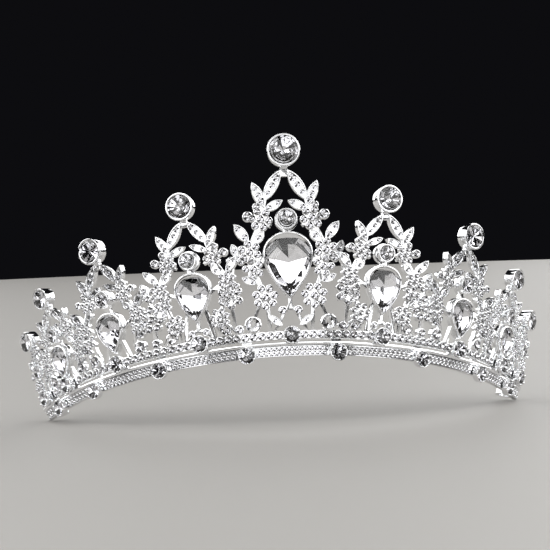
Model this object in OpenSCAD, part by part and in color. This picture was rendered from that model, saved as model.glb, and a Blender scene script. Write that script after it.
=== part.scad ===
// Bridal tiara: a curved band with two rows of stones and nine pointed openwork peaks,
// tipped back as it is worn. The origin is the middle of the band's front, where it rests on the head.

/* [Band] */
// Radius from the middle of the head to the band's metal, at the lower row
band_r = 78.5; // [70:0.5:86]
// How far the band runs round the head, each way from the front, in degrees
band_half_angle = 63.6; // [63:0.2:66]
// How far the openwork leans outwards from the band's axis, in degrees
lean = 18; // [10:1:22]
// How far the whole tiara is tipped back, as worn, in degrees
tilt = 27; // [0:1:30]
// Thickness of the two stone rows' channels
channel_t = 1.4; // [1:0.1:2]
// Height of the lower row's channel
lower_h = 2.9; // [2.4:0.1:3.2]
// Height of the plain polished rail above the lower row
rail_h = 1.1; // [0.8:0.1:1.3]
// Height of the upper row's channel
upper_h = 2.4; // [2:0.1:2.8]

/* [Peaks] */
// Angles of the four side peaks round from the front, in degrees
peak_angles = [18.4, 37, 51.7, 60.2]; // [18:0.1:61]
// Height of the centre peak's top stone above the lower row
centre_top = 57.2; // [52:0.1:60]
// Heights of the four side peaks' top stones, from the front to the end
side_tops = [44.3, 38.5, 31.7, 22.9]; // [22:0.1:46]
// Size of each side peak's openwork, as a share of the centre peak's
side_scales = [0.80, 0.75, 0.60, 0.50]; // [0.48:0.01:0.82]
// How much more the side peaks spread sideways than their size alone would give
side_spread = 1.17; // [1:0.01:1.2]
// Thickness of the cast openwork
frame_t = 1.4; // [1:0.1:2]

/* [Stones] */
// Diameter of the centre peak's top stone
centre_top_d = 7.7; // [6:0.1:8.4]
// Diameters of the four side peaks' top stones
side_top_d = [6.3, 6.0, 4.7, 4.6]; // [4:0.1:6.6]
// How far the top stones' seats stand out in front of the openwork's middle, besides a fifth of their size
top_lift = 1.9; // [1:0.1:2.2]
// Width of the centre pear stone
centre_pear_w = 12.4; // [11:0.1:13]
// Widths of the pear stones on the three side peaks that have one
side_pear_w = [8.8, 7.2, 5.8]; // [5:0.1:9]
// Length of a pear stone over its width
pear_ratio = 1.36; // [1.25:0.01:1.4]
// Diameter of the round stone over each pear
mid_stone_d = 4.8; // [4:0.1:5]
// Diameter of the accent stones along the band
accent_d = 4.2; // [3.6:0.1:4.6]
// Diameter of the upper row's stones
upper_stone_d = 1.9; // [1.5:0.1:2]
// Diameter of the lower row's stones
lower_stone_d = 1.2; // [1:0.05:1.3]

/* [Hair loops] */
// Radius of the hole in each end loop
loop_hole_r = 1.5; // [1:0.1:2]
// Outside radius of each end loop
loop_r = 2.6; // [2.4:0.1:3]

/* [Hidden] */
SIDES = ["centre", "right_1", "right_2", "right_3", "right_4", "left_1", "left_2", "left_3", "left_4"];

metal = [0.86, 0.87, 0.90];
crystal = [0.72, 0.80, 0.90];
face = frame_t / 2;
// Cups: thickness of the wall and of the floor, room round the stone, and the seat's inner edge
// and the rim's height as shares of the stone
wall = 0.9;
cup_floor = 0.5;
stone_room = 0.05;
seat_share = 0.43;
top_seat = 0.2;
top_rim = 0.23;
mid_seat = 0.44;
mid_rim = 0.48;
pear_cup_t = 1.9;
pear_girdle_t = 1.3;
pear_crown = 0.12;
pear_table = 0.62;
accent_cup_t = 2.2;
accent_rim = 0.3;
// Heights on the leaning face, above the lower row's line
lower_v = 0.5;
rail_gap = 0.05;
row_gap = 0.75;
rail_v = lower_v + lower_h / 2 + rail_h / 2 + rail_gap;
upper_v = rail_v + rail_h / 2 + row_gap + upper_h / 2;
upper_top = upper_v + upper_h / 2;
upper_pitch = 2.3;
lower_pitch = 1.42;
// The lower row's two lines of stones lie this far from its middle and are staggered by half a pitch
lower_line = 0.68;
row_margin = 1.6;
rail_proud = 0.5;
bridge_w = 2.8;
bridge_t = 0.76;
bridge_gap = 0.04;
base_wall = 0.4;
base_gap = 0.3;
upper_accent_v = 4.9;
lower_accent_v = -0.1;
// No row stone stands nearer than this to an accent in its row, in degrees
accent_clear = 2.1;

// Each peak's place: 0 centre, 1 to 4 right, -1 to -4 left. The two end peaks have no pear stone
PLACES = [0, 1, 2, 3, 4, -1, -2, -3, -4];
PEAR_PLACES = [0, 1, 2, 3, -1, -2, -3];
last_place = 4;
ANGLES = [for (i = [0:last_place]) [i, i == 0 ? 0 : peak_angles[i - 1]]];
// Angle of a place, or of a point part of the way between two places
function angle_at(p) = sign(p) * lookup(abs(p), ANGLES);
function is_end(k) = abs(k) == last_place;
// On an end peak, the side towards the band's end; m is 1 on the right and -1 on the left
function is_outer(k, m) = m * k > 0;
function top_of(k) = k == 0 ? centre_top : side_tops[abs(k) - 1];
function scale_of(k) = k == 0 ? 1 : side_scales[abs(k) - 1];
// How much a place on the openwork is moved sideways from the lists below
function spread_of(k) = scale_of(k) * (k == 0 || is_end(k) ? 1 : side_spread);
function pear_of(k) = k == 0 ? centre_pear_w : is_end(k) ? 0 : side_pear_w[abs(k) - 1];
function top_d_of(k) = k == 0 ? centre_top_d : side_top_d[abs(k) - 1];
function mid_d_of(k) = mid_stone_d * (0.25 + 0.75 * scale_of(k));

// One half of a peak's openwork, measured across from its middle and down from its top stone,
// at the centre peak's size. Leaves: [base across, base down, tip across, tip down, width, stones]
LEAVES = [
    [0.9, 5.2, 6.3, 14.2, 3.4, 3],
    [6.0, 16.0, 9.3, 8.6, 3.0, 3],
    [6.2, 16.8, 0.7, 14.0, 2.5, 2],
    [10.9, 25.6, 14.9, 20.4, 2.9, 2],
    [9.4, 26.2, 6.5, 22.6, 2.5, 1],
    [9.0, 37.4, 13.4, 35.6, 2.3, 2],
    [6.6, 46.4, 2.4, 49.6, 2.0, 1]];
// Flowers: [across, down, ring radius, petals, petal stone diameter, first petal's angle]
FLOWERS = [
    [7.3, 19.2, 2.35, 6, 1.75, 10],
    [10.8, 28.4, 2.3, 6, 1.7, 20],
    [9.9, 33.2, 2.2, 5, 1.6, 0],
    [6.9, 41.3, 2.7, 7, 1.75, 15]];
// Single stones: [across, down, stone diameter]
BUDS = [
    [10.9, 18.3, 2.3],
    [8.3, 15.6, 1.7],
    [13.3, 30.9, 1.7],
    [2.2, 45.2, 1.9]];
// Stems: [across, down, across, down, width]
STEMS = [
    [6.3, 14.0, 7.2, 18.0, 1.8],
    [7.6, 21.0, 10.2, 26.4, 1.6],
    [10.6, 30.0, 9.9, 32.0, 1.6],
    [9.6, 34.6, 7.4, 39.6, 1.4],
    [6.4, 43.2, 6.0, 50.6, 1.1],
    [8.4, 43.0, 11.4, 50.6, 1.0],
    [0.0, 43.8, 2.2, 45.6, 1.0],
    [1.2, 44.6, 4.2, 50.6, 0.9],
    [4.6, 21.2, 6.4, 20.0, 1.0],
    [6.6, 30.6, 9.0, 30.4, 1.2]];
// The end peaks' own openwork, in the same columns. The side towards the band's end has both leaves,
// the flower and the first single stone; the other side has the first leaf and the second single stone
END_LEAVES = [
    [0.9, 5.2, 5.0, 16.0, 3.6, 2],
    [5.2, 18.0, 8.8, 10.6, 3.2, 2]];
END_FLOWERS = [[6.2, 26.8, 3.1, 6, 2.7, 0]];
END_BUDS = [
    [9.2, 19.6, 3.8],
    [5.0, 25.6, 3.6]];
END_STEMS = [
    [4.8, 15.2, 3.2, 18.6, 2.0],
    [5.4, 17.6, 4.0, 19.6, 2.0],
    [4.0, 20.4, 6.2, 26.0, 2.0],
    [6.0, 27.0, 6.4, 33.5, 2.0],
    [9.0, 19.8, 7.0, 25.6, 1.6]];
END_INNER_STEMS = [
    [4.8, 15.2, 3.2, 18.6, 2.0],
    [2.6, 20.4, 5.0, 25.6, 1.8],
    [5.0, 25.8, 4.8, 33.5, 1.8]];
mid_down = 19.5;
pear_down = 32.6;
// Round stones standing on the upper row: [angle from the front, diameter]
BASE_ONE_SIDE = [
    [7.5, 3.8],
    [10.3, 1.9],
    [12.8, 2.8],
    [24.1, 2.8],
    [27.7, 2.0],
    [31.3, 2.8],
    [42.7, 2.8],
    [46.9, 2.6],
    [56.0, 2.6]];
BASE = [for (s = [-1, 1], e = BASE_ONE_SIDE) [s * e[0], e[1]]];
// Links between neighbouring peaks, from the front to the end:
// [height of the tie, half its width, flower's place across, flower's height, ring radius, petals]
LINKS = [
    [27.2, 3.2, 3.2, 17.0, 2.6, 6],
    [20.6, 3.6, 0, 14.6, 2.8, 7],
    [17.0, 1.8, 0.4, 12.8, 1.6, 0]];
link_petal_d = 1.9;
tie_stone_d = 1.6;
link_leaf_stone_d = 1.3;
// A tie at least this long each way has three stones, a shorter one has one
long_tie = 3;
function tie_stones(e) = e[1] < long_tie ? [0] : [-1, 0, 1];

// ---- placing ----
module worn() {
    rotate([-tilt, 0, 0]) translate([0, band_r, 0]) children();
}

// Puts flat work on the leaning face at an angle round the head: x across, y up, z outwards
module on_band(a) {
    rotate([0, 0, a]) translate([0, -band_r, 0]) rotate([90 + lean, 0, 0]) children();
}

// Puts flat work on one peak: x across, y up from the top stone's centre, z outwards
module on_peak(k) {
    on_band(angle_at(k)) translate([0, top_of(k), 0]) children();
}

// ---- shapes ----
// A round stone, girdle down at the given height, with a flat table
module gem(d, z) {
    translate([0, 0, z]) rotate_extrude($fn = 24)
        polygon([[0, 0], [d / 2, 0], [d / 2, 0.15 * d], [0.3 * d, 0.32 * d], [0, 0.32 * d]]);
}

// A pointed round stone whose girdle sits at height z
module brilliant(d, z) {
    translate([0, 0, z]) rotate_extrude($fn = 32)
        polygon([[0, -0.38 * d], [0.425 * d, 0], [d / 2, 0], [d / 2, 0.05 * d], [0.29 * d, 0.18 * d],
                 [0, 0.18 * d]]);
}

// A cup with a seat for a pointed stone: from z0 up to z1, seat ring at height z
module cup(d, z0, z1, z) {
    rotate_extrude($fn = 32)
        polygon([[0, z0], [d / 2 + wall * 0.75, z0], [d / 2 + wall, z1], [d / 2 + stone_room, z1],
                 [d / 2 + stone_room, z], [seat_share * d, z], [seat_share * d, z0 + cup_floor],
                 [0, z0 + cup_floor]]);
}

// A pointed oval leaf lying from one point to another
module leaf(x0, y0, x1, y1, w) {
    l = norm([x1 - x0, y1 - y0]);
    r = (l * l / 4 + w * w / 4) / w;
    translate([(x0 + x1) / 2, (y0 + y1) / 2]) rotate(atan2(y1 - y0, x1 - x0))
        intersection() {
            translate([0, r - w / 2]) circle(r = r, $fn = 64);
            translate([0, w / 2 - r]) circle(r = r, $fn = 64);
        }
}

module stem(x0, y0, x1, y1, w) {
    l = norm([x1 - x0, y1 - y0]);
    translate([(x0 + x1) / 2, (y0 + y1) / 2]) rotate(atan2(y1 - y0, x1 - x0))
        square([l + w / 2, w], center = true);
}

// A drop with its point down, w wide and h long, about its middle
function drop(w, h) = [for (i = [0:27]) let (t = i * 360 / 28)
    [w / 1.54 * sin(t) * abs(sin(t / 2)), -h / 2 * cos(t)]];

// ---- lists for one peak, at its own size ----
function keep(k, down) = top_of(k) - scale_of(k) * down > upper_top + 0.6;
function leaves_of(k, m) = is_end(k)
    ? [for (i = [0:1]) if (i == 0 || is_outer(k, m)) END_LEAVES[i]]
    : [for (e = LEAVES) if (keep(k, max(e[1], e[3]))) e];
function flowers_of(k, m) = is_end(k)
    ? [for (e = END_FLOWERS) if (is_outer(k, m)) e]
    : [for (e = FLOWERS) if (keep(k, e[1] + 1)) e];
function buds_of(k, m) = is_end(k)
    ? [END_BUDS[is_outer(k, m) ? 0 : 1]]
    : [for (e = BUDS) if (keep(k, e[1])) e];
function foot_of(k) = top_of(k) - upper_top + 0.4;
function stems_of(k, m) = is_end(k)
    ? (is_outer(k, m) ? END_STEMS : END_INNER_STEMS)
    : [for (e = STEMS) if (e[1] * scale_of(k) < foot_of(k) - 1.5) e];

// ---- the cast openwork ----
module half_outline(k, m) {
    s = scale_of(k);
    x = spread_of(k);
    for (e = leaves_of(k, m)) leaf(e[0] * x, -e[1] * s, e[2] * x, -e[3] * s, e[4] * s);
    for (e = flowers_of(k, m)) translate([e[0] * x, -e[1] * s]) {
        circle(r = (e[2] - 0.2) * s, $fn = 32);
        for (i = [0:e[3] - 1]) rotate(e[5] + i * 360 / e[3]) translate([e[2] * s, 0])
            circle(r = e[4] * s / 2 + 0.22, $fn = 20);
    }
    for (e = buds_of(k, m)) translate([e[0] * x, -e[1] * s]) circle(r = e[2] * s / 2 + 0.3, $fn = 20);
    for (e = stems_of(k, m)) stem(e[0] * x, -e[1] * s, e[2] * x, -min(e[3] * s, foot_of(k)), e[4] * s);
}

// The pear's bed and the stems that hold it
module pear_outline(k) {
    s = scale_of(k);
    x = spread_of(k);
    w = pear_of(k) + 2 * wall;
    foot = foot_of(k);
    translate([0, -pear_down * s]) polygon(drop(w, w * pear_ratio));
    stem(0, -mid_down * s, 0, -pear_down * s, 2.4 * s);
    stem(0, -(pear_down * s + w * pear_ratio / 2 - 0.8), 0, -min(45 * s, foot), 1.1 * s);
    for (m = [-1, 1]) {
        stem(m * w * 0.3, -pear_down * s, m * 9.6 * x, -(pear_down - 3.4) * s, 1.4 * s);
        if (k != 0) {
            stem(m * 8.6 * x, -35 * s, m * 7.4 * x, -foot, 1.3 * s);
            stem(m * 3.2 * s, -(pear_down + 4) * s, m * 5.4 * s, -foot, 1.1 * s);
        }
    }
}

module frame_outline(k) {
    s = scale_of(k);
    w = (pear_of(k) + 2 * wall) * 0.72;
    difference() {
        union() {
            half_outline(k, 1);
            mirror([1, 0]) half_outline(k, -1);
            stem(0, -top_d_of(k) / 2, 0, -6.6 * s, 2.2 * s);
            translate([0, -mid_down * s]) circle(r = mid_d_of(k) / 2 + wall, $fn = 32);
            if (is_end(k)) stem(0, -mid_down * s, 0, -foot_of(k), 2.4 * s);
            else pear_outline(k);
        }
        circle(r = top_d_of(k) / 2 + wall * 0.8, $fn = 32);
        if (!is_end(k)) translate([0, -pear_down * s]) polygon(drop(w, w * pear_ratio));
        translate([-20, -top_of(k) - 20]) square([40, 20 + upper_top]);
    }
}

module frame(k) {
    color(metal) worn() on_peak(k) translate([0, 0, -face]) linear_extrude(frame_t) frame_outline(k);
}

// ---- the large settings ----
module top_cup(k) {
    d = top_d_of(k);
    color(metal) worn() on_peak(k) cup(d, -face, top_lift + top_rim * d, top_lift + top_seat * d);
}

module top_stone(k) {
    d = top_d_of(k);
    color(crystal) worn() on_peak(k) brilliant(d, top_lift + top_seat * d);
}

module pear_cup(k) {
    w = pear_of(k);
    outer = w + 2 * wall;
    translate([0, -pear_down * scale_of(k), face]) difference() {
        linear_extrude(pear_cup_t) polygon(drop(outer, outer * pear_ratio));
        translate([0, 0, cup_floor]) linear_extrude(pear_cup_t) polygon(drop(w, w * pear_ratio));
    }
}

module pear_stone(k) {
    w = pear_of(k);
    color(crystal) worn() on_peak(k) translate([0, -pear_down * scale_of(k), face + cup_floor]) {
        linear_extrude(pear_girdle_t) polygon(drop(w, w * pear_ratio));
        translate([0, 0, pear_girdle_t]) linear_extrude(pear_crown * w, scale = pear_table)
            polygon(drop(w, w * pear_ratio));
    }
}

module pear_cups() {
    color(metal) worn() for (k = PEAR_PLACES) on_peak(k) pear_cup(k);
}

module mid_cups() {
    color(metal) worn() for (k = PLACES) on_peak(k) {
        d = mid_d_of(k);
        translate([0, -mid_down * scale_of(k), 0]) cup(d, face, face + mid_rim * d, face + mid_seat * d);
    }
}

module mid_stones() {
    color(crystal) worn() for (k = PLACES) on_peak(k) {
        d = mid_d_of(k);
        translate([0, -mid_down * scale_of(k), 0]) brilliant(d, face + mid_seat * d);
    }
}

// ---- small stones on the openwork ----
module flower_set(k) {
    s = scale_of(k);
    x = spread_of(k);
    for (m = [-1, 1]) mirror([m < 0 ? 1 : 0, 0, 0]) {
        for (e = flowers_of(k, m)) translate([e[0] * x, -e[1] * s, 0]) {
            gem(e[4] * s * 1.05, face);
            for (i = [0:e[3] - 1]) rotate(e[5] + i * 360 / e[3]) translate([e[2] * s, 0, 0])
                gem(e[4] * s, face);
        }
        for (e = buds_of(k, m)) translate([e[0] * x, -e[1] * s, 0]) gem(e[2] * s, face);
    }
}

module leaf_set(k) {
    s = scale_of(k);
    x = spread_of(k);
    for (m = [-1, 1]) mirror([m < 0 ? 1 : 0, 0, 0]) for (e = leaves_of(k, m)) for (i = [0:e[5] - 1]) {
        f = e[5] == 1 ? 0.5 : 0.27 + 0.46 * i / (e[5] - 1);
        d = e[4] * (e[5] == 1 ? 0.6 : 0.6 - 0.1 * i);
        translate([(e[0] + (e[2] - e[0]) * f) * x, -(e[1] + (e[3] - e[1]) * f) * s, 0]) gem(d * s, face);
    }
}

module flower_stones(places) {
    color(crystal) worn() for (k = places) on_peak(k) flower_set(k);
}

module leaf_stones(places) {
    color(crystal) worn() for (k = places) on_peak(k) leaf_set(k);
}

// ---- links between neighbouring peaks ----
// e is one row of LINKS, m is 1 on the right and -1 on the left
module link_outline(e, m) {
    v = e[0];
    stem(-e[1], v, e[1], v, 1.0);
    for (u = tie_stones(e)) translate([u * (e[1] - 1), v]) circle(r = 1.05, $fn = 20);
    leaf(0.2, v + 0.4, m * 1.4, v + 4.6, 2.3);
    translate([m * e[2], e[3]]) {
        circle(r = e[4] - 0.2, $fn = 32);
        for (i = [1:1:e[5]]) rotate(90 + i * 360 / e[5]) translate([e[4], 0])
            circle(r = link_petal_d / 2 + 0.25, $fn = 20);
    }
    stem(m * e[2] / 2, v, m * e[2], e[3], 1.2);
    stem(m * e[2], e[3], m * e[2] * 0.8, upper_top, 1.1);
}

module link_frames() {
    color(metal) worn() for (i = [0:2], m = [-1, 1]) on_band(angle_at(m * (i + 0.5)))
        translate([0, 0, -face]) linear_extrude(frame_t) link_outline(LINKS[i], m);
}

module link_stones(m) {
    color(crystal) worn() for (i = [0:2]) on_band(angle_at(m * (i + 0.5))) {
        e = LINKS[i];
        for (u = tie_stones(e)) translate([u * (e[1] - 1), e[0], 0]) gem(tie_stone_d, face);
        translate([m * 1.0, e[0] + 2.9, 0]) gem(link_leaf_stone_d, face);
        translate([m * e[2], e[3], 0]) {
            gem(link_petal_d * 1.1, face);
            for (j = [1:1:e[5]]) rotate(90 + j * 360 / e[5]) translate([e[4], 0, 0])
                gem(link_petal_d, face);
        }
    }
}

// ---- the band ----
// A strip that follows the band: height h about v, from depth d0 to d1
module strip(v, h, d0, d1) {
    function at(y, d) = [band_r + y * sin(lean) + d * cos(lean), y * cos(lean) - d * sin(lean)];
    rotate([0, 0, -90 - band_half_angle]) rotate_extrude(angle = 2 * band_half_angle, $fn = 180)
        polygon([at(v - h / 2, d0), at(v - h / 2, d1), at(v + h / 2, d1), at(v + h / 2, d0)]);
}

module lower_channel() {
    color(metal) worn() strip(lower_v, lower_h, -channel_t / 2, channel_t / 2);
}

module rail() {
    color(metal) worn() strip(rail_v, rail_h, -channel_t / 2, channel_t / 2 + rail_proud);
}

module upper_channel() {
    color(metal) worn() strip(upper_v, upper_h, -channel_t / 2, channel_t / 2);
}

// Short plates behind the band that tie the two rows and the rail together
module bridges() {
    color(metal) worn() for (j = [-8:8]) on_band(angle_at(j / 2))
        translate([-bridge_w / 2, lower_v - 1, -channel_t / 2 - bridge_gap - bridge_t])
            cube([bridge_w, upper_v - lower_v + 2, bridge_t]);
}

module row(v, d, pitch, shift) {
    span = 2 * band_half_angle - row_margin;
    n = floor(span / 180 * PI * band_r / pitch);
    for (i = [0:n - 1]) {
        a = -span / 2 + (i + 0.5 + shift) * span / n;
        clear = min([for (j = [-8:8]) if (near_accent(j, v)) abs(a - angle_at(j / 2))]);
        if (clear > accent_clear) on_band(a) translate([0, v, 0]) gem(d, channel_t / 2);
    }
}

// The upper row is broken by the accents under the peaks, the lower row by those between them
function near_accent(j, v) = (v > rail_v) == (j % 2 == 0);

module upper_row_stones() {
    color(crystal) worn() row(upper_v, upper_stone_d, upper_pitch, 0);
}

module lower_row_stones() {
    color(crystal) worn() {
        row(lower_v + lower_line, lower_stone_d, lower_pitch, -0.25);
        row(lower_v - lower_line, lower_stone_d, lower_pitch, 0.25);
    }
}

function accent_v(j) = j % 2 == 0 ? upper_accent_v : lower_accent_v;

module accent_cups() {
    top = channel_t / 2 + accent_cup_t;
    color(metal) worn() for (j = [-8:8]) on_band(angle_at(j / 2)) translate([0, accent_v(j), 0])
        cup(accent_d, channel_t / 2 + 0.5, top, top - accent_rim);
}

module accent_stones() {
    color(crystal) worn() for (j = [-8:8]) on_band(angle_at(j / 2)) translate([0, accent_v(j), 0])
        brilliant(accent_d, channel_t / 2 + accent_cup_t - accent_rim);
}

module base_cups() {
    color(metal) worn() for (e = BASE) on_band(e[0]) translate([0, upper_top + e[1] / 2 + base_gap, 0])
        cylinder(r = e[1] / 2 + base_wall, h = frame_t, center = true, $fn = 24);
}

module base_stones() {
    color(crystal) worn() for (e = BASE) on_band(e[0])
        translate([0, upper_top + e[1] / 2 + base_gap, 0]) gem(e[1], face);
}

// ---- loops inside the band's ends, for a ribbon or hairpins: each lies level, its hole upright ----
module end_loop(m) {
    reach = channel_t / 2 + loop_r;
    color(metal) worn() on_band(m * (band_half_angle - 1)) translate([0, lower_v, -reach])
        rotate([90, 0, 0]) difference() {
            union() {
                cylinder(r = loop_r, h = channel_t, center = true, $fn = 32);
                translate([0, loop_r / 2, 0]) cube([2.2, loop_r + 0.1, channel_t], center = true);
            }
            cylinder(r = loop_hole_r, h = channel_t + 1, center = true, $fn = 32);
        }
}

lower_channel();
rail();
upper_channel();
bridges();
lower_row_stones();
upper_row_stones();
accent_cups();
accent_stones();
end_loop(-1);  // end_loop_left
end_loop(1);  // end_loop_right
frame(0);  // frame_centre
frame(1);  // frame_right_1
frame(2);  // frame_right_2
frame(3);  // frame_right_3
frame(4);  // frame_right_4
frame(-1);  // frame_left_1
frame(-2);  // frame_left_2
frame(-3);  // frame_left_3
frame(-4);  // frame_left_4
top_cup(0);  // top_cup_centre
top_cup(1);  // top_cup_right_1
top_cup(2);  // top_cup_right_2
top_cup(3);  // top_cup_right_3
top_cup(4);  // top_cup_right_4
top_cup(-1);  // top_cup_left_1
top_cup(-2);  // top_cup_left_2
top_cup(-3);  // top_cup_left_3
top_cup(-4);  // top_cup_left_4
top_stone(0);  // top_stone_centre
top_stone(1);  // top_stone_right_1
top_stone(2);  // top_stone_right_2
top_stone(3);  // top_stone_right_3
top_stone(4);  // top_stone_right_4
top_stone(-1);  // top_stone_left_1
top_stone(-2);  // top_stone_left_2
top_stone(-3);  // top_stone_left_3
top_stone(-4);  // top_stone_left_4
pear_stone(0);  // pear_stone_centre
pear_stone(1);  // pear_stone_right_1
pear_stone(2);  // pear_stone_right_2
pear_stone(3);  // pear_stone_right_3
pear_stone(-1);  // pear_stone_left_1
pear_stone(-2);  // pear_stone_left_2
pear_stone(-3);  // pear_stone_left_3
pear_cups();
mid_cups();
mid_stones();
base_cups();
base_stones();
link_frames();
flower_stones([0]);  // flower_stones_centre
union() { flower_stones([-1, -2, -3, -4]); link_stones(-1); }  // flower_stones_left
union() { flower_stones([1, 2, 3, 4]); link_stones(1); }  // flower_stones_right
leaf_stones([0]);  // leaf_stones_centre
leaf_stones([-1, -2, -3, -4]);  // leaf_stones_left
leaf_stones([1, 2, 3, 4]);  // leaf_stones_right
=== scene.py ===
import math

import bpy
from mathutils import Matrix, Vector


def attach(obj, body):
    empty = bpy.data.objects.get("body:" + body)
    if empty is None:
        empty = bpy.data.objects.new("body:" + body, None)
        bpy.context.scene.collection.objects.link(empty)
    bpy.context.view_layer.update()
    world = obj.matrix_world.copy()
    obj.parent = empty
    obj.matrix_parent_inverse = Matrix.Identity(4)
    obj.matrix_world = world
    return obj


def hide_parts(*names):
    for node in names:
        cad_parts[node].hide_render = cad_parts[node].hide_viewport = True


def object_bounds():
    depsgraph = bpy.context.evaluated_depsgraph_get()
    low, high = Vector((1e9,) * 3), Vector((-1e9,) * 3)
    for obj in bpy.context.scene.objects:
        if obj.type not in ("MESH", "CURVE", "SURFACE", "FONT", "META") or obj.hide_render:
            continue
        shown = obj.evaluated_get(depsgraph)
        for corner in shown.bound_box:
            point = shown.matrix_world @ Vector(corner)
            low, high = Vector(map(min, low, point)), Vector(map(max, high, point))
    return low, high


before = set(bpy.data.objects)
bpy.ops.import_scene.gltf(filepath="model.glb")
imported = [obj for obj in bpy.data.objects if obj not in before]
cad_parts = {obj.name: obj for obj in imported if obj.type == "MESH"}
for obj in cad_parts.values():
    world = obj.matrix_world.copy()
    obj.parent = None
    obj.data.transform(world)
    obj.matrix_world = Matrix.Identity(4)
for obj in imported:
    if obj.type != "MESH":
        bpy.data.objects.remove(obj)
cad_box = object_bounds()

# ---- driving sizes, in millimetres and degrees ----
MM = 0.001
BAND_R = 78.5
BAND_HALF_ANGLE = 63.6
LEAN = 18.0
TILT = 27.0
PEAK_ANGLES = [0.0, 18.4, 37.0, 51.7, 60.2]
CHANNEL_T = 1.4
FRAME_T = 1.4
FACE = FRAME_T / 2
LOWER_H, RAIL_H, UPPER_H = 2.9, 1.1, 2.4
LOWER_V = 0.5
RAIL_GAP, UPPER_GAP = 0.05, 0.75
RAIL_V = LOWER_V + LOWER_H / 2 + RAIL_H / 2 + RAIL_GAP
UPPER_V = RAIL_V + RAIL_H / 2 + UPPER_GAP + UPPER_H / 2
UPPER_TOP = UPPER_V + UPPER_H / 2
RAIL_PROUD = 0.5
EDGE_EASE = 0.16

TOPS = [57.2, 44.3, 38.5, 31.7, 22.9]
SCALES = [1.0, 0.80, 0.75, 0.60, 0.50]
SPREADS = [1.0, 1.17, 1.17, 1.17, 1.0]  # the side peaks' openwork is drawn out sideways
TOP_D = [8.1, 6.7, 6.4, 5.1, 5.0]
TOP_WALL = 0.68
TOP_LIFT = 1.9  # the deep top cups hold their stones this much further out
# heights in a cup, as shares of its stone: the rim, the girdle and the seat
TOP_RIM, TOP_GIRDLE, TOP_SEAT = 0.21, 0.18, 0.13
PEAR_W = [13.0, 9.4, 7.8, 6.3]
PEAR_RATIO = 1.36
DROP_SPAN = 1.54  # twice the most that sin(t) * sin(t / 2) comes to
PEAR_WALL = 0.5
PEAR_GIRDLE = 1.15
MID_STONE_D = 5.1
MID_WALL = 0.4
MID_RIM, MID_GIRDLE, MID_SEAT = 0.5, 0.45, 0.4
MID_FIXED = 0.25  # share of a middle stone that stays the same on the smaller peaks
MID_DOWN, PEAR_DOWN = 19.5, 32.6
ACCENT_D = 4.4
ACCENT_V = {0: 4.9, 1: -0.1}
ACCENT_WALL = 0.34
ACCENT_FACE = CHANNEL_T / 2 + 2.2
ACCENT_FLOOR = CHANNEL_T / 2 + 0.1
ACCENT_RIM, ACCENT_GIRDLE, ACCENT_SEAT = ACCENT_FACE - 0.1, ACCENT_FACE - 0.4, ACCENT_FACE - 0.75
PRONGS = 6
PRONG_D = 0.75
PRONG_OUT, PRONG_UP = ACCENT_D / 2 + 0.02, ACCENT_FACE - 0.32
ACCENT_CLEAR = 2.1  # degrees of a row left free on each side of an accent
PLACES = [0, 1, 2, 3, 4, -1, -2, -3, -4]
PEAR_PLACES = [0, 1, 2, 3, -1, -2, -3]
LAST_PLACE = 4
# accents stand at every peak and half way between two, counted in half peaks
ACCENT_PLACES = range(-2 * LAST_PLACE, 2 * LAST_PLACE + 1)

ROW_SEAT = CHANNEL_T / 2 - 0.1
ROW_END = 0.8  # degrees left free at each end of a row
UPPER_STONE_D, UPPER_PITCH = 1.9, 2.3
LOWER_STONE_D, LOWER_PITCH = 1.2, 1.42
LOWER_OFFSET, LOWER_STAGGER = 0.68, 0.25
PETAL_GIRDLE = 0.19
HEART_SHARE, HEART_LIFT = 1.05, 0.25
LEAF_W = 0.4  # width of the model leaf, which is 1 long
LEAF_DEPTH = 6.0
LEAF_BED, LEAF_GIRDLE = 0.34, 0.17  # height of the sunk bed, and the girdle over it as a share
LEAF_FIRST, LEAF_SPAN = 0.27, 0.46  # first stone's place along the leaf, and first to last
LEAF_STONE, LEAF_STONE_LESS = 0.6, 0.1
FOOT_CLEAR = 0.6
BASE_CLEAR = 0.3

# One half of a peak: leaves [base across, base down, tip across, tip down, width, stones]
LEAVES = [
    [0.9, 5.2, 6.3, 14.2, 3.4, 3],
    [6.0, 16.0, 9.3, 8.6, 3.0, 3],
    [6.2, 16.8, 0.7, 14.0, 2.5, 2],
    [10.9, 25.6, 14.9, 20.4, 2.9, 2],
    [9.4, 26.2, 6.5, 22.6, 2.5, 1],
    [9.0, 37.4, 13.4, 35.6, 2.3, 2],
    [6.6, 46.4, 2.4, 49.6, 2.0, 1]]
# flowers [across, down, ring radius, petals, petal stone, first petal's angle]
FLOWERS = [
    [7.3, 19.2, 2.35, 6, 1.75, 10],
    [10.8, 28.4, 2.3, 6, 1.7, 20],
    [9.9, 33.2, 2.2, 5, 1.6, 0],
    [6.9, 41.3, 2.7, 7, 1.75, 15]]
# buds [across, down, stone]
BUDS = [
    [10.9, 18.3, 2.3],
    [8.3, 15.6, 1.7],
    [13.3, 30.9, 1.7],
    [2.2, 45.2, 1.9]]
# the end peaks' own leaves, flower and buds: the second leaf, the flower and the first bud are
# on the side towards the band's end, the second bud on the other
END_LEAVES = [
    [0.9, 5.2, 5.0, 16.0, 3.6, 2],
    [5.2, 18.0, 8.8, 10.6, 3.2, 2]]
END_FLOWERS = [[6.2, 26.8, 3.1, 6, 2.7, 0]]
END_BUDS = [
    [9.2, 19.6, 3.8],
    [5.0, 25.6, 3.6]]
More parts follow.
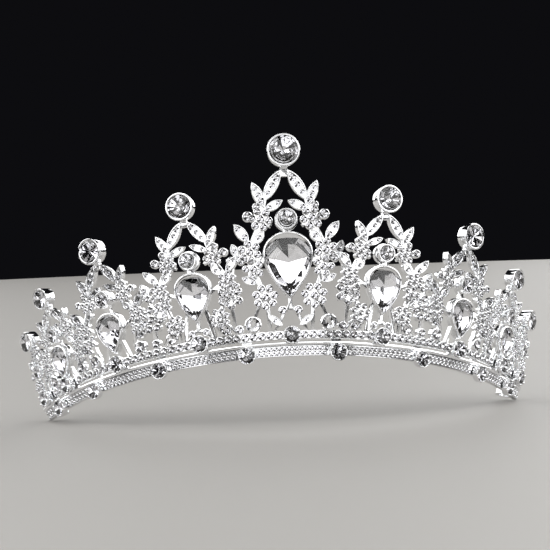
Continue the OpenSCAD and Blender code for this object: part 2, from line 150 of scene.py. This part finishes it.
# links between peaks [tie height, half width, flower across, flower height, ring radius, petals]
LINKS = [
    [27.2, 3.2, 3.2, 17.0, 2.6, 6],
    [20.6, 3.6, 0.0, 14.6, 2.8, 7],
    [17.0, 1.8, 0.4, 12.8, 1.6, 0]]
LONG_TIE = 3.0
TIE_STONE_D = 1.6
LINK_PETAL_D = 1.9
# a link's leaf, from the tie: [base across, base up, tip across, tip up, width, stones]
LINK_LEAF = [0.2, 0.4, 1.4, 4.6, 2.3, 1]
# round stones standing on the upper row, on one side: [angle, diameter]
BASE_ONE_SIDE = [
    [7.5, 3.8], [10.3, 1.9], [12.8, 2.8], [24.1, 2.8], [27.7, 2.0],
    [31.3, 2.8], [42.7, 2.8], [46.9, 2.6], [56.0, 2.6]]


# ---- placing ----
def turn(axis, degrees):
    return Matrix.Rotation(math.radians(degrees), 4, axis)


WORN = turn("X", -TILT) @ Matrix.Translation((0, BAND_R, 0))


def on_band(angle, across=0.0, up=0.0, out=0.0):
    """Where flat work lands: millimetres on the leaning face to metres in the row frame."""
    place = WORN @ turn("Z", angle) @ Matrix.Translation((0, -BAND_R, 0)) @ turn("X", 90 + LEAN)
    return Matrix.Scale(MM, 4) @ place @ Matrix.Translation((across, up, out))


def angle_at(place):
    """Angle of a peak's place, or of a point part of the way between two."""
    low = min(int(abs(place)), LAST_PLACE - 1)
    part = abs(place) - low
    angle = PEAK_ANGLES[low] * (1 - part) + PEAK_ANGLES[low + 1] * part
    return math.copysign(angle, place)


def on_peak(k, across=0.0, down=0.0, out=0.0):
    return on_band(angle_at(k), across, TOPS[abs(k)] - down, out)


def lifted(height):
    return Matrix.Translation((0, 0, height))


# ---- workshop helpers ----
def pick_none():
    bpy.ops.object.select_all(action="DESELECT")


def edit(obj):
    pick_none()
    bpy.context.view_layer.objects.active = obj
    obj.select_set(True)
    bpy.ops.object.mode_set(mode="EDIT")


def done():
    bpy.ops.object.mode_set(mode="OBJECT")


def apply_all(obj):
    pick_none()
    bpy.context.view_layer.objects.active = obj
    obj.select_set(True)
    for m in list(obj.modifiers):
        bpy.ops.object.modifier_apply(modifier=m.name)


def smooth(obj, degrees):
    pick_none()
    bpy.context.view_layer.objects.active = obj
    obj.select_set(True)
    bpy.ops.object.shade_smooth_by_angle(angle=math.radians(degrees))


def drawn(name, points, edges, faces):
    """A new mesh from its points, open for editing and selected all over."""
    mesh = bpy.data.meshes.new(name)
    mesh.from_pydata(points, edges, faces)
    obj = bpy.data.objects.new(name, mesh)
    bpy.context.collection.objects.link(obj)
    edit(obj)
    bpy.ops.mesh.select_all(action="SELECT")
    return obj


def copy_at(model, matrix):
    """A copy with its own mesh, its place in its mesh."""
    new = bpy.data.objects.new(model.name, model.data.copy())
    bpy.context.collection.objects.link(new)
    new.data.transform(matrix)
    return new


def joined(parts, name):
    pick_none()
    for p in parts:
        p.select_set(True)
    bpy.context.view_layer.objects.active = parts[0]
    if len(parts) > 1:
        bpy.ops.object.join()
    out = bpy.context.view_layer.objects.active
    out.name = name
    out.data.name = name
    pick_none()
    return out


def add_piece(obj):
    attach(obj, "root")


def finish_piece(obj, node):
    add_piece(obj)
    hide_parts(node)


# ---- materials ----
def new_material(name):
    m = bpy.data.materials.new(name)
    m.use_nodes = True
    return m, m.node_tree.nodes, m.node_tree.links, m.node_tree.nodes["Principled BSDF"]


def fine_grain(nodes, links, shader, scale, low, high):
    """Noise on the piece itself that varies its roughness between two values."""
    place = nodes.new("ShaderNodeTexCoord")
    grain = nodes.new("ShaderNodeTexNoise")
    grain.inputs["Scale"].default_value = scale
    grain.inputs["Detail"].default_value = 3.0
    spread = nodes.new("ShaderNodeMapRange")
    spread.inputs["To Min"].default_value = low
    spread.inputs["To Max"].default_value = high
    links.new(place.outputs["Object"], grain.inputs["Vector"])
    links.new(grain.outputs["Fac"], spread.inputs["Value"])
    links.new(spread.outputs["Result"], shader.inputs["Roughness"])
    return grain


def silver(name, rough, bump, scale):
    m, nodes, links, shader = new_material(name)
    shader.inputs["Base Color"].default_value = (0.95, 0.955, 0.965, 1)
    shader.inputs["Metallic"].default_value = 1.0
    grain = fine_grain(nodes, links, shader, scale, rough * 0.6, rough * 1.5)
    relief = nodes.new("ShaderNodeBump")
    relief.inputs["Strength"].default_value = bump
    relief.inputs["Distance"].default_value = 0.0001
    links.new(grain.outputs["Fac"], relief.inputs["Height"])
    links.new(relief.outputs["Normal"], shader.inputs["Normal"])
    return m


def clear_glass(name):
    m, nodes, links, shader = new_material(name)
    shader.inputs["Base Color"].default_value = (1, 1, 1, 1)
    shader.inputs["Transmission Weight"].default_value = 1.0
    shader.inputs["IOR"].default_value = 1.6
    fine_grain(nodes, links, shader, 400, 0.0, 0.012)
    return m


def foil(name, tint):
    m, nodes, links, shader = new_material(name)
    shader.inputs["Base Color"].default_value = (tint, tint, tint * 1.03, 1)
    shader.inputs["Metallic"].default_value = 1.0
    fine_grain(nodes, links, shader, 700, 0.015, 0.05)
    return m


cast_silver = silver("cast_silver", 0.16, 0.25, 900)
bright_silver = silver("bright_silver", 0.09, 0.08, 500)
mirror_silver = silver("mirror_silver", 0.04, 0.02, 300)
glass = clear_glass("crystal_glass")
mirror_foil = foil("crystal_foil", 0.96)
# painted shade: a near-black copy of the bright foil, put on some back facets to paint the dark wedges a real
# stone shows
painted_dark_foil = foil("painted_shade_foil", 0.04)


# ---- stones, cut as a lapidary cuts them: one flat cut for each facet ----
def cut(azimuth, angle, point):
    """Grinds away all beyond a plane that leans at the angle from flat, facing the azimuth."""
    a, t = math.radians(azimuth), math.radians(angle)
    normal = (math.sin(t) * math.cos(a), math.sin(t) * math.sin(a), math.cos(t))
    bpy.ops.mesh.select_all(action="SELECT")
    bpy.ops.mesh.bisect(plane_co=point, plane_no=normal, use_fill=True, clear_outer=True, threshold=1e-5)


def round_the_edge(azimuth, reach):
    """Where a cut touches, at a reach from the stone's axis."""
    a = math.radians(azimuth)
    return reach * math.cos(a), reach * math.sin(a)


def round_stone(name, sides, crown, pavilion, table, backs, shade_every):
    """A round stone 1 across, girdle at height 0: a table, eight crown facets and a pointed back."""
    r, girdle = 0.5, 0.03
    bpy.ops.mesh.primitive_cylinder_add(vertices=sides, radius=r, depth=1.2, end_fill_type="NGON")
    obj = bpy.context.object
    obj.name = name
    edit(obj)
    crown_angle = math.degrees(math.atan2(crown, r - table / 2))
    back_angle = math.degrees(math.atan2(pavilion, r))
    for count, angle, level in ((8, crown_angle, girdle / 2), (backs, 180 - back_angle, -girdle / 2)):
        for i in range(count):
            azimuth = i * 360.0 / count
            cut(azimuth, angle, (*round_the_edge(azimuth, r), level))
    cut(0, 0, (0, 0, girdle / 2 + crown))
    done()

    # painted shade: picks the back facets that get the near-black foil, one in each run of the given count,
    # painting dark wedges into the stone
    def is_shaded(f):
        facet = round(math.degrees(math.atan2(f.normal.y, f.normal.x)) * backs / 360.0)
        return facet % shade_every == 1
    foil_the_back(obj, is_shaded)
    return obj


def foil_the_back(obj, is_shaded):
    """Clear glass in front and bright foil behind; the chosen back facets get a near-black foil as painted
    shade.
    """
    for m in (glass, mirror_foil, painted_dark_foil):
        obj.data.materials.append(m)
    for f in obj.data.polygons:
        behind = 2 if is_shaded(f) else 1
        f.material_index = behind if f.normal.z < -0.05 else 0
        f.use_smooth = False


def drop_outline(w, count):
    """Points round a drop with its point down, w wide, about its middle."""
    points = []
    for i in range(count):
        t = 2 * math.pi * i / count
        x = w / DROP_SPAN * math.sin(t) * abs(math.sin(t / 2))
        y = -w * PEAR_RATIO / 2 * math.cos(t)
        points.append((x, y))
    return points


def pear_stone_model(name):
    """A pear-cut stone 1 wide, its point down: table, two tiers of crown facets, keeled back."""
    rim = drop_outline(1.0, 20)
    n = len(rim)
    points = [(x, y, 0.3) for x, y in rim] + [(x, y, -0.7) for x, y in rim]
    faces = [list(range(n)), list(range(2 * n - 1, n - 1, -1))]
    faces += [[i, n + i, n + (i + 1) % n, (i + 1) % n] for i in range(n)]
    obj = drawn(name, points, [], faces)
    bpy.ops.mesh.normals_make_consistent(inside=False)
    for i in range(n):
        (x0, y0), (x1, y1) = rim[i], rim[(i + 1) % n]
        out = math.degrees(math.atan2(-(x1 - x0), (y1 - y0)))
        mid = ((x0 + x1) / 2, (y0 + y1) / 2)
        if mid[0] * math.cos(math.radians(out)) + mid[1] * math.sin(math.radians(out)) < 0:
            out += 180
        cut(out, 38 if i % 2 else 44, (mid[0], mid[1], 0.02))
    for i in range(8):
        azimuth = 90 + 45 * i
        reach = 0.37 if i != 4 else 0.47
        cut(azimuth, 24, (*round_the_edge(azimuth, reach), 0.10))
    cut(0, 0, (0, 0, 0.13))
    for azimuth, deep in ((76, 16), (104, 16), (40, 14), (140, 14), (0, 13), (180, 13), (-52, 13), (232, 13)):
        cut(azimuth, 180 - deep, (*round_the_edge(azimuth, 0.5), -0.02))
    done()
    # painted shade: the back facet at the top, just left of the middle, gets the near-black foil
    foil_the_back(obj, lambda f: f.normal.y > 0.2 and -0.1 < f.normal.x < 0)
    return obj


# ---- settings ----
def spun(name, profile, steps):
    """A ring turned from a closed profile of (radius, height) points about the local Z axis."""
    n = len(profile)
    obj = drawn(name, [(r, 0, z) for r, z in profile], [(i, (i + 1) % n) for i in range(n)], [])
    bpy.ops.mesh.spin(steps=steps, angle=2 * math.pi, center=(0, 0, 0), axis=(0, 0, 1))
    bpy.ops.mesh.select_all(action="SELECT")
    bpy.ops.mesh.remove_doubles(threshold=1e-4)
    bpy.ops.mesh.normals_make_consistent(inside=False)
    done()
    return obj


def lipped(r_in, r_out, low, high, seat):
    """Profile of a cup: a floor, a seat for the stone and a rounded lip."""
    t = r_out - r_in
    return [(0.001, low), (r_out * 0.86, low), (r_out * 0.93, low + t * 0.3), (r_out, high - t * 0.45),
            (r_out - t * 0.18, high - t * 0.08), (r_out - t * 0.5, high), (r_in + t * 0.15, high - t * 0.1),
            (r_in, high - t * 0.4), (r_in, seat), (r_in * 0.8, seat - t * 0.2), (0.001, low + 0.3)]


def cup_model(name, d, wall, low, high, seat, steps=40):
    obj = spun(name, lipped(d / 2 + 0.02, d / 2 + wall, low, high, seat), steps)
    obj.data.materials.append(bright_silver)
    smooth(obj, 40)
    return obj


def petal_cup_model(name):
    """The small collar round a stone 1 across."""
    profile = [(0.001, -0.02), (0.66, -0.02), (0.64, 0.14), (0.56, 0.18), (0.47, 0.04)]
    obj = spun(name, profile, 10)
    obj.data.materials.append(bright_silver)
    smooth(obj, 50)
    return obj


def bead_model(name):
    """A rounded bead 1 across that stands a little out of its bed."""
    bpy.ops.mesh.primitive_uv_sphere_add(segments=8, ring_count=6, radius=0.5)
    obj = bpy.context.object
    obj.name = name
    edit(obj)
    bpy.ops.mesh.select_all(action="SELECT")
    bpy.ops.transform.resize(value=(1, 1, 1.5))
    bpy.ops.mesh.bisect(plane_co=(0, 0, -0.4), plane_no=(0, 0, -1), use_fill=True, clear_outer=True)
    done()
    obj.data.materials.append(bright_silver)
    smooth(obj, 60)
    return obj


def raised(name, outline, section):
    """Walls drawn up from a flat outline; each step of the section is (share of the outline, height)."""
    n = len(outline)
    obj = drawn(name, [(x, y, 0) for x, y in outline], [(i, (i + 1) % n) for i in range(n)], [])
    share, height = 1.0, 0.0
    for new_share, new_height in section:
        rise = {"value": (0, 0, new_height - height)}
        bpy.ops.mesh.extrude_edges_move(TRANSFORM_OT_translate=rise)
        f = new_share / share
        bpy.ops.transform.resize(value=(f, f, 1), center_override=(0, 0, 0))
        share, height = new_share, new_height
    return obj


def closed_up(obj, material, degrees):
    bpy.ops.mesh.select_all(action="SELECT")
    bpy.ops.mesh.remove_doubles(threshold=1e-4)
    bpy.ops.mesh.normals_make_consistent(inside=False)
    done()
    obj.data.materials.append(material)
    smooth(obj, degrees)
    return obj


def pear_rim_model(name, w, wall):
    """An open drop-shaped collet for a stone w wide: a wall, a rounded lip and a ledge inside."""
    full = w + 2 * wall
    t = wall / full
    section = [(1, 1.45), (1 - 0.5 * t, 1.64), (1 - t, 1.7), (1 - 1.6 * t, 1.58), (1 - 2 * t, 1.0),
               (0.82, 0.75), (0.78, 0.0), (1, 0.0)]
    return closed_up(raised(name, drop_outline(full, 48), section), bright_silver, 45)


def leaf_outline(half_width, count=9):
    """A pointed oval 1 long, tips at the ends."""
    r = (0.25 + half_width * half_width) / (2 * half_width)
    top = [-0.5 + i / (count - 1) for i in range(count)]
    arc = [(x, math.sqrt(max(r * r - x * x, 0)) - (r - half_width)) for x in top]
    return arc + [(x, -y) for x, y in reversed(arc[1:-1])]


def leaf_model(name):
    """A leaf 1 long: a raised pointed rim round a sunk bed."""
    section = [(1, 0.085), (0.94, 0.108), (0.87, 0.108), (0.8, 0.08), (0.78, 0.04)]
    obj = raised(name, leaf_outline(LEAF_W / 2), section)
    bpy.ops.mesh.edge_face_add()
    bpy.ops.mesh.select_all(action="DESELECT")
    bpy.ops.mesh.select_non_manifold()
    bpy.ops.mesh.edge_face_add()
    return closed_up(obj, cast_silver, 40)


small = round_stone("small_stone", 16, 0.17, 0.16, 0.5, 8, 4)
large = round_stone("large_stone", 32, 0.09, 0.3, 0.66, 16, 4)
pear = pear_stone_model("pear_stone")
petal_cup = petal_cup_model("petal_cup")
leaf = leaf_model("leaf_bed")
bead = bead_model("bead")
MODELS = [small, large, pear, petal_cup, leaf, bead]


def kept(k, down):
    """Whether a motif that far down a peak still clears the upper row."""
    return TOPS[abs(k)] - SCALES[abs(k)] * down > UPPER_TOP + FOOT_CLEAR


def set_stone(stones, cups, place, d, height=0.0):
    """A small stone d across in its collar, at a place on the face."""
    stones.append(copy_at(small, place @ lifted(height + PETAL_GIRDLE * d) @ Matrix.Scale(d, 4)))
    cups.append(copy_at(petal_cup, place @ lifted(height) @ Matrix.Scale(d, 4)))


def flower(stones, cups, spot, x, y, ring, petals, d, start):
    """A middle stone a little higher than the ring of petal stones round it."""
    set_stone(stones, cups, spot(x, y), d * HEART_SHARE, HEART_LIFT)
    for i in range(petals):
        a = math.radians(start + i * 360.0 / petals)
        set_stone(stones, cups, spot(x + ring * math.cos(a), y + ring * math.sin(a)), d)


def leaf_with_stones(stones, cups, spot, x0, y0, x1, y1, w, count):
    """A leaf from base to tip, its stones getting smaller towards the tip."""
    length = math.hypot(x1 - x0, y1 - y0)
    angle = math.degrees(math.atan2(y1 - y0, x1 - x0))
    shape = turn("Z", angle) @ Matrix.Diagonal((length, w / LEAF_W, LEAF_DEPTH, 1))
    cups.append(copy_at(leaf, spot((x0 + x1) / 2, (y0 + y1) / 2) @ shape))
    for i in range(count):
        f = 0.5 if count == 1 else LEAF_FIRST + LEAF_SPAN * i / (count - 1)
        d = w * (LEAF_STONE - LEAF_STONE_LESS * i)
        at = spot(x0 + (x1 - x0) * f, y0 + (y1 - y0) * f)
        stones.append(copy_at(small, at @ lifted(LEAF_BED + LEAF_GIRDLE * d) @ Matrix.Scale(d, 4)))


def is_end(k):
    return abs(k) == LAST_PLACE


def motifs_of(k, m):
    """Leaves, flowers and buds on one side of a peak; m is 1 on the right and -1 on the left."""
    if is_end(k) and m * k > 0:
        return END_LEAVES, END_FLOWERS, END_BUDS[:1]
    if is_end(k):
        return END_LEAVES[:1], [], END_BUDS[1:]
    return ([e for e in LEAVES if kept(k, max(e[1], e[3]))], [e for e in FLOWERS if kept(k, e[1] + 1)],
            [e for e in BUDS if kept(k, e[1])])


def dress_peak(k, flower_set, leaf_set, collars):
    """Leaves, flowers and buds on both sides of a peak."""
    s = SCALES[abs(k)]
    for m in (-1, 1):
        wide = m * s * SPREADS[abs(k)]

        def place(x, y):
            return on_peak(k, x, -y, FACE)
        leaves, flowers, buds = motifs_of(k, m)
        for e in flowers:
            start = e[5] if m > 0 else 180 - e[5]
            flower(flower_set, collars, place, wide * e[0], -e[1] * s, e[2] * s, e[3], e[4] * s, start)
        for e in buds:
            set_stone(flower_set, collars, place(wide * e[0], -e[1] * s), e[2] * s)
        for e in leaves:
            leaf_with_stones(leaf_set, collars, place, wide * e[0], -e[1] * s, wide * e[2], -e[3] * s,
                             e[4] * s, e[5])


def name_of(k):
    return "centre" if k == 0 else ("right_%d" % k if k > 0 else "left_%d" % -k)


# ---- peaks ----
for side, places in (("centre", [0]), ("right", [1, 2, 3, 4]), ("left", [-1, -2, -3, -4])):
    flower_set, leaf_set, collars = [], [], []
    for k in places:
        dress_peak(k, flower_set, leaf_set, collars)
    if side != "centre":
        m = 1 if side == "right" else -1
        for i, (tie, half, fx, fy, ring, petals) in enumerate(LINKS):
            def place(x, y):
                return on_band(angle_at(m * (i + 0.5)), x, y, FACE)
            for u in (-1, 0, 1) if half > LONG_TIE else (0,):
                set_stone(flower_set, collars, place(u * (half - 1), tie), TIE_STONE_D)
            x0, y0, x1, y1, wide, count = LINK_LEAF
            leaf_with_stones(leaf_set, collars, place, m * x0, tie + y0, m * x1, tie + y1, wide, count)
            flower(flower_set, collars, place, m * fx, fy, ring, petals, LINK_PETAL_D, 90)
    for node, parts in (("flower_stones_" + side, flower_set), ("leaf_stones_" + side, leaf_set)):
        finish_piece(joined(parts, node + "_cut"), node)
    add_piece(joined(collars, "collars_" + side))

for k in PLACES:
    d = TOP_D[abs(k)]
    stone = copy_at(large, on_peak(k, 0, 0, TOP_LIFT + TOP_GIRDLE * d) @ Matrix.Scale(d, 4))
    stone.name = "top_brilliant_" + name_of(k)
    finish_piece(stone, "top_stone_" + name_of(k))
    rim, seat = TOP_LIFT + TOP_RIM * d, TOP_LIFT + TOP_SEAT * d
    cup = cup_model("top_setting_" + name_of(k), d, TOP_WALL, -FACE, rim, seat)
    cup.data.transform(on_peak(k))
    finish_piece(cup, "top_cup_" + name_of(k))

pear_rims = []
for k in PEAR_PLACES:
    s = SCALES[abs(k)]
    w = PEAR_W[abs(k)]
    gem = copy_at(pear, on_peak(k, 0, PEAR_DOWN * s, FACE + PEAR_GIRDLE) @ Matrix.Scale(w, 4))
    gem.name = "pear_cut_" + name_of(k)
    finish_piece(gem, "pear_stone_" + name_of(k))
    rim = pear_rim_model("pear_rim", w, PEAR_WALL)
    rim.data.transform(on_peak(k, 0, PEAR_DOWN * s, FACE))
    pear_rims.append(rim)
finish_piece(joined(pear_rims, "pear_rims"), "pear_cups")

mid_stones, mid_cups = [], []
for k in PLACES:
    s = SCALES[abs(k)]
    d = MID_STONE_D * (MID_FIXED + (1 - MID_FIXED) * s)
    at = on_peak(k, 0, MID_DOWN * s, FACE + MID_GIRDLE * d)
    mid_stones.append(copy_at(large, at @ Matrix.Scale(d, 4)))
    cup = cup_model("mid_setting", d, MID_WALL, 0, MID_RIM * d, MID_SEAT * d, 32)
    cup.data.transform(on_peak(k, 0, MID_DOWN * s, FACE))
    mid_cups.append(cup)
finish_piece(joined(mid_stones, "mid_brilliants"), "mid_stones")
finish_piece(joined(mid_cups, "mid_settings"), "mid_cups")

# ---- band stones ----
accents, accent_cups = [], []
for j in ACCENT_PLACES:
    at = on_band(angle_at(j / 2), 0, ACCENT_V[abs(j) % 2], 0)
    accents.append(copy_at(large, at @ lifted(ACCENT_GIRDLE) @ Matrix.Scale(ACCENT_D, 4)))
    cup = cup_model("accent_setting", ACCENT_D, ACCENT_WALL, ACCENT_FLOOR, ACCENT_RIM, ACCENT_SEAT, 28)
    cup.data.transform(at)
    accent_cups.append(cup)
    for i in range(PRONGS):
        prong = at @ turn("Z", 360 / PRONGS * (i + 0.5)) @ Matrix.Translation((PRONG_OUT, 0, PRONG_UP))
        accent_cups.append(copy_at(bead, prong @ Matrix.Scale(PRONG_D, 4)))
finish_piece(joined(accents, "accent_brilliants"), "accent_stones")
finish_piece(joined(accent_cups, "accent_settings"), "accent_cups")

base, base_cups = [], []
for side in (-1, 1):
    for angle, d in BASE_ONE_SIDE:
        set_stone(base, base_cups, on_band(side * angle, 0, UPPER_TOP + d / 2 + BASE_CLEAR, FACE), d)
finish_piece(joined(base, "base_brilliants"), "base_stones")
add_piece(joined(base_cups, "base_collars"))


def row(v, d, pitch, shift, parity):
    """Stones along the band, broken at the accents of one parity: even at peaks, odd between them."""
    span = 2 * BAND_HALF_ANGLE - 2 * ROW_END
    count = int(math.radians(span) * BAND_R / pitch)
    accents_here = [angle_at(j / 2) for j in ACCENT_PLACES if abs(j) % 2 == parity]
    stones, cups = [], []
    for i in range(count):
        a = -span / 2 + (i + 0.5 + shift) * span / count
        if min(abs(a - b) for b in accents_here) > ACCENT_CLEAR:
            set_stone(stones, cups, on_band(a, 0, v, ROW_SEAT), d)
    return stones, cups


upper, upper_cups = row(UPPER_V, UPPER_STONE_D, UPPER_PITCH, 0, 0)
high, high_cups = row(LOWER_V + LOWER_OFFSET, LOWER_STONE_D, LOWER_PITCH, -LOWER_STAGGER, 1)
low, low_cups = row(LOWER_V - LOWER_OFFSET, LOWER_STONE_D, LOWER_PITCH, LOWER_STAGGER, 1)
finish_piece(joined(upper, "upper_row_cut"), "upper_row_stones")
finish_piece(joined(high + low, "lower_row_cut"), "lower_row_stones")
add_piece(joined(upper_cups + high_cups + low_cups, "row_collars"))


# ---- the band, swept round from its section ----
def swept(name, section, material):
    """A closed section of (out, up) points on the leaning face, spun round the band's axis."""
    sin, cos = math.sin(math.radians(LEAN)), math.cos(math.radians(LEAN))
    start = turn("Z", BAND_HALF_ANGLE)
    points = [start @ Vector((0, -(BAND_R + v * sin + d * cos), v * cos - d * sin)) for d, v in section]
    obj = drawn(name, points, [], [list(range(len(points)))])
    bpy.ops.mesh.spin(steps=120, angle=math.radians(2 * BAND_HALF_ANGLE), center=(0, 0, 0), axis=(0, 0, 1))
    bpy.ops.mesh.select_all(action="SELECT")
    bpy.ops.mesh.normals_make_consistent(inside=False)
    done()
    obj.data.transform(Matrix.Scale(MM, 4) @ WORN)
    obj.data.materials.append(material)
    smooth(obj, 40)
    return obj


def tray(v, h):
    """Section of a stone channel: a sunk bed between two rounded lips."""
    back, bed, lip, t = -CHANNEL_T / 2, CHANNEL_T / 2 - 0.2, CHANNEL_T / 2 + 0.12, 0.28
    low, high = v - h / 2, v + h / 2
    return [(back, low), (lip - 0.1, low), (lip, low + 0.08), (lip, low + t - 0.06), (bed, low + t),
            (bed, high - t), (lip, high - t + 0.06), (lip, high - 0.08), (lip - 0.1, high), (back, high)]


def rounded_bar(v, h, back, front):
    """Section of the polished rail, round-shouldered in front."""
    e = h / 2
    return [(back, v - e), (front - 0.45, v - e), (front - 0.12, v - e * 0.72), (front, v - e * 0.25),
            (front, v + e * 0.25), (front - 0.12, v + e * 0.72), (front - 0.45, v + e), (back, v + e)]


finish_piece(swept("lower_tray", tray(LOWER_V, LOWER_H), bright_silver), "lower_channel")
finish_piece(swept("upper_tray", tray(UPPER_V, UPPER_H), bright_silver), "upper_channel")
bar = rounded_bar(RAIL_V, RAIL_H, -CHANNEL_T / 2, CHANNEL_T / 2 + RAIL_PROUD)
finish_piece(swept("rail_bar", bar, mirror_silver), "rail")


# ---- castings: the openwork plates with their edges eased ----
def eased(node):
    """A copy of a casting with its sharp edges rounded over."""
    obj = copy_at(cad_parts[node], Matrix.Identity(4))
    edit(obj)
    bpy.ops.mesh.select_all(action="SELECT")
    bpy.ops.mesh.remove_doubles(threshold=1e-6)
    bpy.ops.mesh.dissolve_limited(angle_limit=math.radians(0.5))
    done()
    obj.data.materials.clear()
    obj.data.materials.append(cast_silver)
    soften = obj.modifiers.new("ease", "BEVEL")
    soften.width = EDGE_EASE * MM
    soften.segments = 2
    soften.limit_method = "ANGLE"
    soften.angle_limit = math.radians(50)
    apply_all(obj)
    smooth(obj, 40)
    obj.name = node + "_casting"
    finish_piece(obj, node)


for k in PLACES:
    eased("frame_" + name_of(k))
eased("link_frames")

# ---- CAD castings that keep their own shape ----
for name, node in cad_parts.items():
    if node.type == "MESH" and not node.hide_render:
        node.data.materials.clear()
        node.data.materials.append(cast_silver)

for model in MODELS:
    bpy.data.objects.remove(model)

# ---- floor, backdrop, lights and camera ----
FLOOR_R, FLOOR_T, FLOOR_GAP = 1.0, 0.02, 0.0001
floor_z = cad_box[0].z - FLOOR_GAP - FLOOR_T / 2
bpy.ops.mesh.primitive_cylinder_add(vertices=128, radius=FLOOR_R, depth=FLOOR_T, location=(0, 0, floor_z))
floor = bpy.context.object
floor.name = "table_top"
pale, nodes, links, shader = new_material("pale_table")
shader.inputs["Base Color"].default_value = (0.33, 0.32, 0.305, 1)
shader.inputs["Roughness"].default_value = 0.6
floor.data.materials.append(pale)

world = bpy.data.worlds.new("studio")
bpy.context.scene.world = world
world.use_nodes = True
world.node_tree.nodes["Background"].inputs["Color"].default_value = (0.004, 0.004, 0.005, 1)
bpy.context.scene.view_settings.view_transform = "Standard"
MIDDLE = Vector((0, 0.02, 0.02))


def soft_light(name, azimuth, elevation, distance, size, brightness):
    """A softbox that faces the piece; azimuth 0 is in front. Power follows from area and brightness."""
    data = bpy.data.lights.new(name, "AREA")
    data.shape = "RECTANGLE"
    data.size, data.size_y = size
    data.energy = brightness * math.pi * size[0] * size[1]
    lamp = bpy.data.objects.new(name, data)
    bpy.context.collection.objects.link(lamp)
    away = turn("Z", azimuth) @ turn("X", -elevation) @ Vector((0, -distance, 0))
    lamp.location = MIDDLE + away
    lamp.rotation_euler = (-away).to_track_quat("-Z", "Y").to_euler()
    lamp.visible_camera = False


soft_light("front", 0, 17, 1.1, (0.7, 0.42), 1.4)
soft_light("front_top", 0, 54, 1.1, (1.5, 0.5), 2.0)
for m, side in ((-1, "left"), (1, "right")):
    soft_light("front_" + side, 50 * m, 30, 1.1, (0.75, 0.95), 2.1)
    soft_light("side_" + side, 100 * m, 28, 1.1, (0.9, 0.8), 2.6)
    soft_light("back_" + side, 150 * m, 22, 1.1, (0.7, 0.8), 2.2)
soft_light("overhead", 0, 90, 1.2, (0.8, 0.6), 2.0)

camera_data = bpy.data.cameras.new("camera")
camera_data.lens = 127.7
camera_data.sensor_width = 36
camera = bpy.data.objects.new("camera", camera_data)
bpy.context.collection.objects.link(camera)
camera.location = (-0.0429, -0.5436, 0.0483)
view_turn = turn("Z", -4.08) @ turn("X", 90 - 2.76) @ turn("Z", -2.13)
camera.rotation_euler = view_turn.to_euler()
bpy.context.scene.camera = camera
